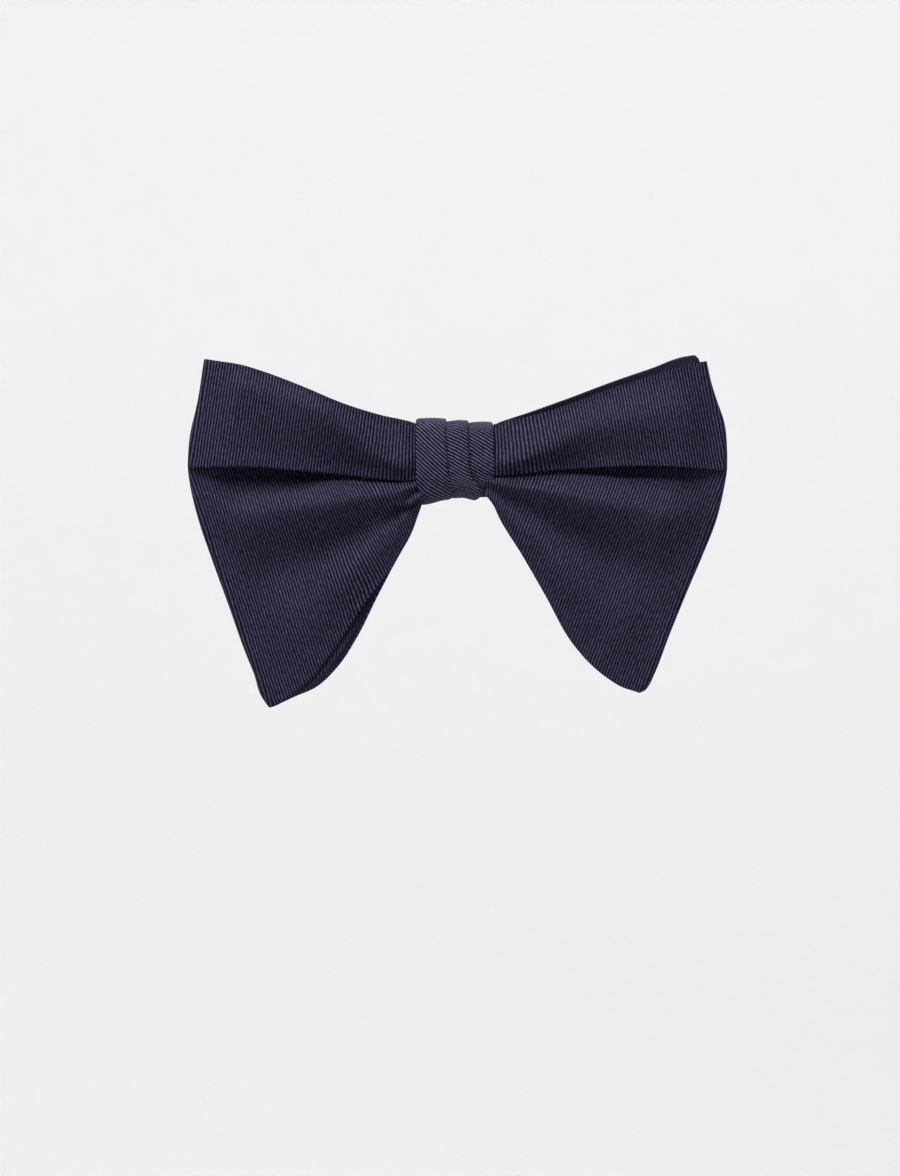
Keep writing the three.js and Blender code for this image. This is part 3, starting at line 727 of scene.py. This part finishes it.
def pleat_section(y, z):
    """The strip's section at one place of the ring, as a line through (x, depth) points."""
    left, first, second, right = pleat_edges(y, z)
    flat = 1 - 0.45 * ease((y + 70) / 8)  # the pleats are pulled flat at the back
    step = 1.6 - 0.9 * ease((-z - 6) / 6)  # the first one melts away towards the bottom
    last = step + 1.0 * ease((-z - 1) / 8)  # and the second one deepens
    points = [(left + 3.0, 1.1), (left + 1.2, 0.95), (left + 0.3, 0.78), (left, 0.42),
              (left + 0.35, 0.08), (left + 1.5, -0.05), ((left + first) / 2, -0.25)]
    depths = (-0.02, 0.12, 0.45, 0.78, 1.0, 1.3, 1.6, step, step - 0.28)
    points += [(first + run, depth) for run, depth in zip(PLEAT_TURN, depths)]
    points.append(((first + second) / 2, step - 0.8))
    depths = [step + rise for rise in (-0.75, -0.62, -0.28, 0.08, 0.3, 0.6)]
    depths += [last + rise for rise in (0.9, 0.9, 0.62)]
    points += [(second + run, depth) for run, depth in zip(PLEAT_TURN, depths)]
    points += [((second + right) / 2, last + 0.12), (right - 1.3, last + 0.2),
               (right - 0.35, last + 0.4), (right, last + 0.75), (right - 0.4, last + 1.1),
               (right - 2.6, last + 1.2)]
    return smooth_line([(x, depth * flat) for x, depth in points], per_span=6)


def knot_lift(x, z):
    """The knot's lower edge is lowest at its left corner, with a notch by the last pleat."""
    edge = eased(x, (-14.5, -0.6), (-12.4, -0.5), (-3.3, 1.3), (3, 2.1), (7.6, 1.1),
                 (10.2, 1.6), (11.6, 2.9), (14.5, 2.6))
    return edge * ease((-z - 5) / 9)


sections = {}


def knot_place(t, share):
    at = RING_LINE(share)
    if share not in sections:
        sections[share] = pleat_section(at.x, at.y)
    run = (RING_LINE(share + 0.006) - RING_LINE(share - 0.006)).normalized()
    x, depth = sections[share](t)
    spot = at + Vector((run.y, -run.x)) * depth
    degrees = eased(t, (0, 43), (0.34, 41), (0.42, 28), (0.62, 30), (0.72, 35), (1, 33))
    lean = math.radians(degrees)  # the ribs' slant changes from pleat to pleat
    along = (share - 0.48) * RING_LENGTH
    rib = along * math.cos(lean) + x * math.sin(lean)
    return (x, spot.x, spot.y + knot_lift(x, spot.y)), (rib, x)


knot = cloth_grid("knot_wrap_pleated", PLEAT_COLUMNS, RING_ROWS, knot_place, LIT_KNOT_CLOTH,
                  CLOTH_THICK)
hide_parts("knot_wrap")
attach(knot, "knot")
print("knot: a ring", round(RING_LENGTH), "mm long")

# %% [markdown]
# Inside the knot the strip is pinched into a bundle of folds: a sleeve whose section ripples.
# A thread is wound round its waist, and a pad of felt in front of it rounds out the knot.

# %% Gather, binding and padding
GATHER_END = 11.2  # half its length
WAIST_END = 2.6
BUNDLE_Y, BUNDLE_Z = -65.1, -0.25  # the bundle's middle


def boxy(value, power):
    """A sine or cosine made squarer, which turns a round section into a rounded box."""
    return math.copysign(abs(value) ** power, value)


def gather_place(share, t):
    angle = 2 * math.pi * t
    x = mix(-GATHER_END, GATHER_END, share)
    waist = 1.3 * (1 - ease((abs(x) - 1.2) / WAIST_END))
    ripple = 0.55 * math.sin(11 * angle) + 0.25 * math.sin(17 * angle + 1 + x * 0.12)
    y = BUNDLE_Y + (3.7 - waist + ripple) * boxy(math.cos(angle), 0.6)
    z = BUNDLE_Z + (12.2 - waist + ripple) * boxy(math.sin(angle), 0.75)
    return (x, y, z), (x, t * 100)


gather = cloth_grid("bow_gather_folds", 60, 210, gather_place, BOW_CLOTH, CLOTH_THICK)
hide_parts("bow_gather")
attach(gather, "knot")


def tube(name, points, radius, material):
    """A round thread or cord whose middle runs through the points (mm)."""
    curve = bpy.data.curves.new(name, "CURVE")
    curve.dimensions = "3D"
    curve.bevel_depth = radius * MM
    curve.bevel_resolution = 2
    curve.resolution_u = 4
    curve.use_fill_caps = True
    spline = curve.splines.new("NURBS")
    spline.points.add(len(points) - 1)
    for spot, point in zip(spline.points, points):
        spot.co = (*(Vector(point) * MM), 1)
    spline.order_u = 3
    spline.use_endpoint_u = True
    drawn = new_object(name, curve)
    solid = drawn.evaluated_get(bpy.context.evaluated_depsgraph_get())
    mesh = bpy.data.meshes.new_from_object(solid)
    bpy.data.objects.remove(drawn)
    return mesh_piece(name, mesh, material)


WINDS, WIND_POINTS = 5, 24
binding_points = []
for i in range(WINDS * WIND_POINTS):
    angle = 2 * math.pi * i / WIND_POINTS
    binding_points.append((-1.6 + 3.2 * i / (WINDS * WIND_POINTS) + 0.25 * math.sin(3.7 * angle),
                           BUNDLE_Y + 3.05 * boxy(math.cos(angle), 0.6),
                           BUNDLE_Z + 11.6 * boxy(math.sin(angle), 0.75)))
binding = tube("binding_thread_wound", binding_points, 0.28, THREAD)
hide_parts("binding_thread")
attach(binding, "knot")


PAD_SHARE = (0.97, 0.86)  # of its box's width and height
PAD_SHIFT = Vector((0, 0.8, 0.9)) * MM  # it lies back and up from the box's middle


def make_pad():
    low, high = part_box("knot_padding")
    middle, half = (low + high) / 2 + PAD_SHIFT, (high - low) / 2
    bm = bmesh.new()
    bmesh.ops.create_cube(bm, size=2)
    bmesh.ops.subdivide_edges(bm, edges=bm.edges, cuts=24, use_grid_fill=True)
    for v in bm.verts:
        x, y, z = v.co
        thick = (1 - abs(x) ** 6) ** 0.5 * (1 - abs(z) ** 6) ** 0.5
        lumps = 0.06 * math.sin(7 * x + 3 * z) + 0.05 * math.sin(11 * z - 4 * x)
        # in front it is thinner under the lowest pleat
        front = 0.8 - 0.4 * ease((x - z + 0.4) / 2) if y < 0 else 1
        bulk = half.y * front * (0.35 + (0.6 + lumps) * thick)
        v.co = middle + Vector((x * half.x * PAD_SHARE[0], y * bulk, z * half.z * PAD_SHARE[1]))
    lay_uv(bm, lambda v: (v.co.x / MM, v.co.z / MM))
    return mesh_piece("knot_pad_felt", bm, FELT)


pad = make_pad()
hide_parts("knot_padding")
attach(pad, "knot")
print("inside the knot:", binding.name, pad.name)

# %% [markdown]
# ## Neckband
# The band is a woven ribbon, 20 mm wide, with a firm selvedge along each edge. It stands on
# its edge round the neck, so a strap is a rounded section carried along a plan.
# Each side turns round a bar of the clasp. On the right its end is sewn down; on the left it
# comes back over itself to the slider, which changes the neck size.

# %% Straps
NECK_RADIUS = 58.0  # inner face of the band
NECK_HALF_FLAT = 14.0
STRAP_WIDTH, STRAP_THICK = 20.0, 0.95
BAND_MIDDLE = NECK_RADIUS + 0.5
LAID_MIDDLE = NECK_RADIUS + 1.8  # middle of a strap that lies on the band
BAR_X, BAR_Y, TURN_RADIUS = 16.05, 60.3, 1.8
SPLIT = 77.0  # arc angle where one woven length meets the next, under the slider
ARC_STEP = 3.0


def on_band(side, angle, radius):
    """A point of the band's plan: the angle runs from the front round one side."""
    turn = math.radians(angle)
    return Vector((side * (NECK_HALF_FLAT + radius * math.sin(turn)), -radius * math.cos(turn)))


def laid_band(angle):
    return mix(LAID_MIDDLE, BAR_Y + TURN_RADIUS, ease((angle - 164) / 12))


def band_arc(side, start, end, radius_at=lambda angle: BAND_MIDDLE):
    count = max(1, math.ceil(abs(end - start) / ARC_STEP))
    angles = [mix(start, end, i / count) for i in range(count + 1)]
    return [on_band(side, angle, radius_at(angle)) for angle in angles]


def strap_section(t, width, thick):
    """A rounded ribbon section, with a groove by each selvedge: (across, out, run) in mm."""
    flat, end = width - thick, math.pi * thick / 2
    run = t % 1.0 * 2 * (flat + end)
    face, half = (1, run) if run < flat + end else (-1, run - flat - end)
    z, out = half - flat / 2, thick / 2
    if half >= flat:
        turn = (half - flat) / end * math.pi
        z, out = flat / 2 + thick / 2 * math.sin(turn), thick / 2 * math.cos(turn)
    groove = 0.12 * math.exp(-(((width / 2 - abs(z) - 1.6) / 0.3) ** 2))
    return z * face, (out - math.copysign(groove, out)) * face, run


def strap(name, plan, material=BAND_CLOTH, width=STRAP_WIDTH, thick=STRAP_THICK, around=56,
          per_mm=1.0):
    """A closed ribbon that follows a plan in (x, y), with both ends capped."""
    line = smooth_line(plan, per_span=6)
    length = line_length(line, 300)
    columns = max(4, round(length * per_mm))

    def place(share, t):
        across, out, run = strap_section(t, width, thick)
        at = line(share)
        along = (line(min(share + 0.004, 1)) - line(max(share - 0.004, 0))).normalized()
        return (at.x - along.y * out, at.y + along.x * out, across), (share * length, run)

    piece = cloth_grid(name, columns, around, place, material)
    bm = bmesh.new()
    bm.from_mesh(piece.data)
    bmesh.ops.remove_doubles(bm, verts=bm.verts, dist=1e-7)
    bmesh.ops.holes_fill(bm, edges=[e for e in bm.edges if e.is_boundary], sides=0)
    bmesh.ops.recalc_face_normals(bm, faces=bm.faces)
    bm.to_mesh(piece.data)
    bm.free()
    return piece, length


def clasp_turn(side, returns_to):
    """The far part of a side: along the band, round the clasp's bar and back over itself."""
    turn = [Vector((side * (BAR_X - TURN_RADIUS * math.cos(a)), BAR_Y + TURN_RADIUS * math.sin(a)))
            for a in [math.pi * (i / 8 - 0.5) for i in range(9)]]
    return band_arc(side, SPLIT, 177) + turn + band_arc(side, 176, returns_to, laid_band)


NEAR_BEND = (11, 29)  # arc angles of a side beside the knot
FAR_BEND = (126, 144)  # and near the clasp
RETURN_START = 108.0  # arc angle where the return strap meets the turned part
SLIDER_ANGLE = 75.0
LOOP_END = SLIDER_ANGLE + math.degrees(9.3 / LAID_MIDDLE)


def band_spot(side, angle):
    spot = on_band(side, angle, BAND_MIDDLE) * MM
    return (spot.x, spot.y, 0)


def sew_strap(name, side, plan, bodies, bend, *nodes):
    piece, length = strap(name, plan)
    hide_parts(*nodes)
    [band_spot(side, angle) for angle in bend]
    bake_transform(piece)
    print(name, round(length), "mm")


MIDDLE = Vector((0.15, -BAND_MIDDLE))  # where the two sides meet, inside the knot
sew_strap("left_band_ribbon", LEFT, [MIDDLE, *band_arc(LEFT, 0, SPLIT)], ("knot", "left_band"),
          NEAR_BEND, "band_front", "left_band_side")
sew_strap("right_band_ribbon", RIGHT, [MIDDLE, *band_arc(RIGHT, 0, SPLIT)],
          ("knot", "right_band"), NEAR_BEND, "right_band_side")
sew_strap("left_clasp_ribbon", LEFT, clasp_turn(LEFT, RETURN_START), ("left_band", "left_end"),
          FAR_BEND, "left_band_end")
sew_strap("right_clasp_ribbon", RIGHT, clasp_turn(RIGHT, 152), ("right_band", "right_end"),
          FAR_BEND, "right_band_end")
sew_strap("left_return_ribbon", LEFT,
          band_arc(LEFT, LOOP_END, RETURN_START - 0.2, lambda angle: LAID_MIDDLE),
          ("slider", "left_band"), (LOOP_END, RETURN_START), "left_return_strap")

# %% [markdown]
# ## Hook, eye and slider
# Hook and eye are stamped from sheet steel 1 mm thick, and the hook's tongue is then bent back
# in a J. So each is a flat grid with lines at the edges of its slots and no faces in them,
# carried along its plan, thickened and given rounded edges.

# %% Stamped plates
PLATE_THICK, PLATE_HALF = 1.0, 12.1
SLOT_HALF = 10.4
BAR_END, SLOT_NEAR, SLOT_FAR = 17.0, 15.1, 12.6  # distances from the centre, along X


def stamped_plate(name, runs, levels, half_height, bend, holes):
    """runs are distances along the plate, levels are shares of its half height, and a hole is
    the runs that it spans and its highest level."""
    bm = bmesh.new()
    bmesh.ops.create_grid(bm, x_segments=len(runs) - 1, y_segments=len(levels) - 1, size=1)
    for v in bm.verts:
        column = round((v.co.x + 1) / 2 * (len(runs) - 1))
        row = round((v.co.y + 1) / 2 * (len(levels) - 1))
        v.co = (runs[column], levels[row], 0)
    cut = []
    for face in bm.faces:
        run, level, _ = face.calc_center_median()
        if any(a < run < b and abs(level) < share for a, b, share in holes):
            cut.append(face)
    bmesh.ops.delete(bm, geom=cut, context="FACES")
    for v in bm.verts:
        run, level, _ = v.co
        v.co = Vector((*bend(run), level * half_height(run))) * MM
    piece = mesh_piece(name, bm, NICKEL)
    solid = piece.modifiers.new("sheet steel", "SOLIDIFY")
    solid.thickness = PLATE_THICK * MM
    solid.offset = 0
    soften(piece, 0.22)
    return piece


def soften(piece, width):
    """Rounds the edges, as tumbling does to stamped metal."""
    bevel = piece.modifiers.new("tumbled edges", "BEVEL")
    bevel.width = width * MM
    bevel.segments = 3
    bevel.limit_method = "ANGLE"
    bevel.angle_limit = math.radians(40)
    bevel.harden_normals = True


HOOK_BEND_X, HOOK_ROUND, TONGUE_BACK = -2.8, 1.6, 3.8
TONGUE_HALF = 5.0
straight = HOOK_BEND_X + BAR_END


def hook_bend(run):
    if run <= straight:
        return run - BAR_END, BAR_Y
    turn = (run - straight) / HOOK_ROUND
    if turn <= math.pi:
        return HOOK_BEND_X + HOOK_ROUND * math.sin(turn), BAR_Y + HOOK_ROUND * (1 - math.cos(turn))
    back = run - straight - math.pi * HOOK_ROUND
    return HOOK_BEND_X - back, BAR_Y + 2 * HOOK_ROUND + 0.06 * back * back


def hook_half(run):
    end = straight + math.pi * HOOK_ROUND + TONGUE_BACK
    return eased(run, (0.0, PLATE_HALF - 0.9), (0.9, PLATE_HALF), (5.0, PLATE_HALF),
                 (9.8, TONGUE_HALF), (end - 1.2, TONGUE_HALF), (end, TONGUE_HALF - 0.9))


slot_level = SLOT_HALF / PLATE_HALF
half_levels = [0.15, 0.3, 0.45, 0.6, 0.72, slot_level, 0.93, 1.0]
levels = [-v for v in reversed(half_levels)] + [0.0] + half_levels
slot_near, slot_far = BAR_END - SLOT_NEAR, BAR_END - SLOT_FAR
SLOT = (slot_near, slot_far, slot_level)
bar_runs = [0, 0.3, 0.6, 0.9, 1.4, slot_near, 2.6, 3.6, slot_far]
hook_runs = bar_runs + [5.0 + 0.6 * i for i in range(15)] + [straight]
hook_runs += [straight + math.pi * HOOK_ROUND * i / 10 for i in range(1, 11)]
hook_runs += [straight + math.pi * HOOK_ROUND + TONGUE_BACK * i / 6 for i in range(1, 7)]
hook = stamped_plate("hook_plate", hook_runs, levels, hook_half, hook_bend, [SLOT])
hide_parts("hook")
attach(hook, "hook")

EYE_FAR, EYE_CORNER, WINDOW_FAR, WINDOW_NEAR, WINDOW_HALF = 2.5, 2.5, 4.7, 10.9, 8.6


def eye_half(run):
    short = clamp(run - (BAR_END - EYE_FAR - EYE_CORNER), 0, EYE_CORNER)
    near = clamp(0.9 - run, 0, 0.9)
    return PLATE_HALF - (EYE_CORNER - math.sqrt(EYE_CORNER**2 - short**2)) - near


window_level = WINDOW_HALF / PLATE_HALF
eye_levels = sorted({*levels, -window_level, window_level} - {-0.72, 0.72})
window_near, window_far = BAR_END - WINDOW_NEAR, BAR_END - WINDOW_FAR
eye_runs = bar_runs + [5.2, window_near]
eye_runs += [mix(window_near, window_far, i / 8) for i in range(1, 9)]
eye_runs += [window_far + v for v in (0.4, 0.8, 1.2, 1.5, 1.75, 1.95, 2.1, 2.2)]
eye = stamped_plate("eye_plate", eye_runs, eye_levels, eye_half, lambda run: (BAR_END - run, BAR_Y),
                    [SLOT, (window_near, window_far, window_level)])
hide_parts("eye")
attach(eye, "eye")

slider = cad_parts["slider_frame"]
slider.data.materials.clear()
slider.data.materials.append(NICKEL)
soften(slider, 0.25)
print("metal:", hook.name, eye.name, slider.name)

# %% [markdown]
# The strap's inner end goes under the slider's raised middle bar, round it and down onto
# itself, where a box of stitches holds it.

# %% Loop round the slider's bar
BAR_MIDDLE = LAID_MIDDLE + 1.3  # middle of the raised bar
LOOP_TURN = 1.3  # radius of the turn round it
LOOP_TOP = BAR_MIDDLE + LOOP_TURN
FLAP_MIDDLE = LAID_MIDDLE + 1.3


def along_slider(s, radius):
    return on_band(LEFT, SLIDER_ANGLE + math.degrees(s / LAID_MIDDLE), radius)


loop_plan = [along_slider(s, LAID_MIDDLE) for s in (9.2, 6.5, 4, 1.5)]
loop_plan += [along_slider(-1 - LOOP_TURN * math.cos(a), BAR_MIDDLE + LOOP_TURN * math.sin(a))
              for a in [math.pi * (i / 6 - 0.5) for i in range(7)]]
loop_plan += [along_slider(*spot) for spot in ((1.4, LOOP_TOP - 0.05), (3.2, LOOP_TOP - 0.6),
                                               (4.8, FLAP_MIDDLE + 0.05), (8.4, FLAP_MIDDLE))]
loop, loop_length = strap("slider_loop_ribbon", loop_plan, per_mm=2.0)
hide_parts("slider_end_loop")
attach(loop, "slider")

# %% [markdown]
# The care label is a blank strip of satin ribbon with its ends folded under, on the neck side.

# %% Label
LABEL_FROM, LABEL_TO, LABEL_HEIGHT, LABEL_THICK = 60.0, 84.0, 14.0, 0.25
LABEL_OUT, LABEL_IN = NECK_RADIUS - 0.3, NECK_RADIUS - 0.75
label_end = [(3, LABEL_OUT), (0.3, LABEL_OUT), (0, (LABEL_OUT + LABEL_IN) / 2)]
label_plan = [on_band(RIGHT, LABEL_FROM + turn, radius) for turn, radius in label_end]
label_plan += [on_band(RIGHT, mix(LABEL_FROM + 0.3, LABEL_TO - 0.3, i / 8), LABEL_IN)
               for i in range(9)]
label_plan += [on_band(RIGHT, LABEL_TO - turn, radius) for turn, radius in reversed(label_end)]
label, label_length = strap("care_label_blank", label_plan, LABEL, LABEL_HEIGHT, LABEL_THICK,
                            around=40, per_mm=3.0)
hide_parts("care_label")
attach(label, "right_band")
print("label", round(label_length), "mm")

# %% [markdown]
# ## Stitches
# A machine stitch lies on the cloth for 2 mm and then dips through it, so a row is one round
# thread that rises and sinks as it goes.

# %% Rows of stitches
STITCH_STEP = 2.7  # mm from one stitch to the next
STITCH_WAVE = ((0, -0.25), (0.12, 0.1), (0.5, 0.2), (0.88, 0.1))  # share of a stitch, rise
THREAD_ROUND = 0.2


def stitch_row(name, corners, surface, node, body):
    """corners are (arc angle, height) points; surface(angle, height, rise) gives a place."""
    points = []
    for (a0, z0), (a1, z1) in zip(corners, corners[1:]):
        length = math.hypot(math.radians(a1 - a0) * LAID_MIDDLE, z1 - z0)
        count = max(1, round(length / STITCH_STEP))
        for i in range(count):
            for share, rise in STITCH_WAVE:
                place = (i + share) / count
                points.append(surface(mix(a0, a1, place), mix(z0, z1, place), rise))
    points.append(surface(*corners[-1], STITCH_WAVE[0][1]))
    row = tube(name, points, THREAD_ROUND, THREAD)
    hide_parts(node)
    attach(row, body)


def on_face(side, radius, outward=1):
    def surface(angle, z, rise):
        at = on_band(side, angle, radius + rise * outward)
        return (at.x, at.y, z)
    return surface


def box_of(a0, a1, z):
    return [(a0, -z), (a0, z), (a1, z), (a1, -z), (a0, -z), (a1, z)]


BOX_HALF = 7.5
stitch_row("right_end_box_stitch", box_of(153.5, 160, BOX_HALF),
           on_face(RIGHT, LAID_MIDDLE + STRAP_THICK / 2), "right_end_stitches", "right_end")
stitch_row("slider_loop_box_stitch", box_of(SLIDER_ANGLE + 5.2, SLIDER_ANGLE + 7.6, BOX_HALF),
           on_face(LEFT, FLAP_MIDDLE + STRAP_THICK / 2), "slider_loop_stitches", "slider")
stitch_row("label_edge_stitch", [(61.2, -6), (61.2, 6), (82.8, 6), (82.8, -6), (61.2, -6)],
           on_face(RIGHT, LABEL_IN - LABEL_THICK / 2, -1), "label_stitches", "right_band")

# The knot's lapped end is whipped down by hand: each stitch goes over the edge and under.
WHIPS, WHIP_START, WHIP_STEP = 14, -12.2, 1.85
whip = []
for i in range(WHIPS):
    x = WHIP_START + WHIP_STEP * i
    whip += [(x, -55.6, -4.4), (x + 0.15, -55.25, -5.4), (x + 0.45, -55.7, -6.5),
             (x + 0.7, -56.7, -7.3), (x + 1.0, -57.3, -7.0), (x + 1.4, -56.6, -5.6)]
whip_row = tube("knot_whip_stitch", whip, THREAD_ROUND, THREAD)
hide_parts("knot_seam_stitches")
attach(whip_row, "knot")
print("stitches done")

# %% [markdown]
# ## Finish
# Each new piece names the record's material slot that its finish belongs to, so that the tie
# can be recoloured later.

# %% Slots and finish
SLOTS = {BOW_CLOTH: "bow_cloth", LIT_KNOT_CLOTH: "knot_cloth", BAND_CLOTH: "strap",
         LINING: "lining", INTERLINING: "interlining", FELT: "padding", THREAD: "thread",
         LABEL: "label", NICKEL: "metal"}
cad_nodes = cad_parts.values()
new_pieces = [o for o in bpy.data.objects if o.type == "MESH" and o not in cad_nodes]
for piece in new_pieces:
    finish = piece.data.materials[0]
    if finish in SLOTS:
        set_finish(piece, SLOTS[finish])
print("pieces with a slot:", sum("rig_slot" in piece for piece in new_pieces))
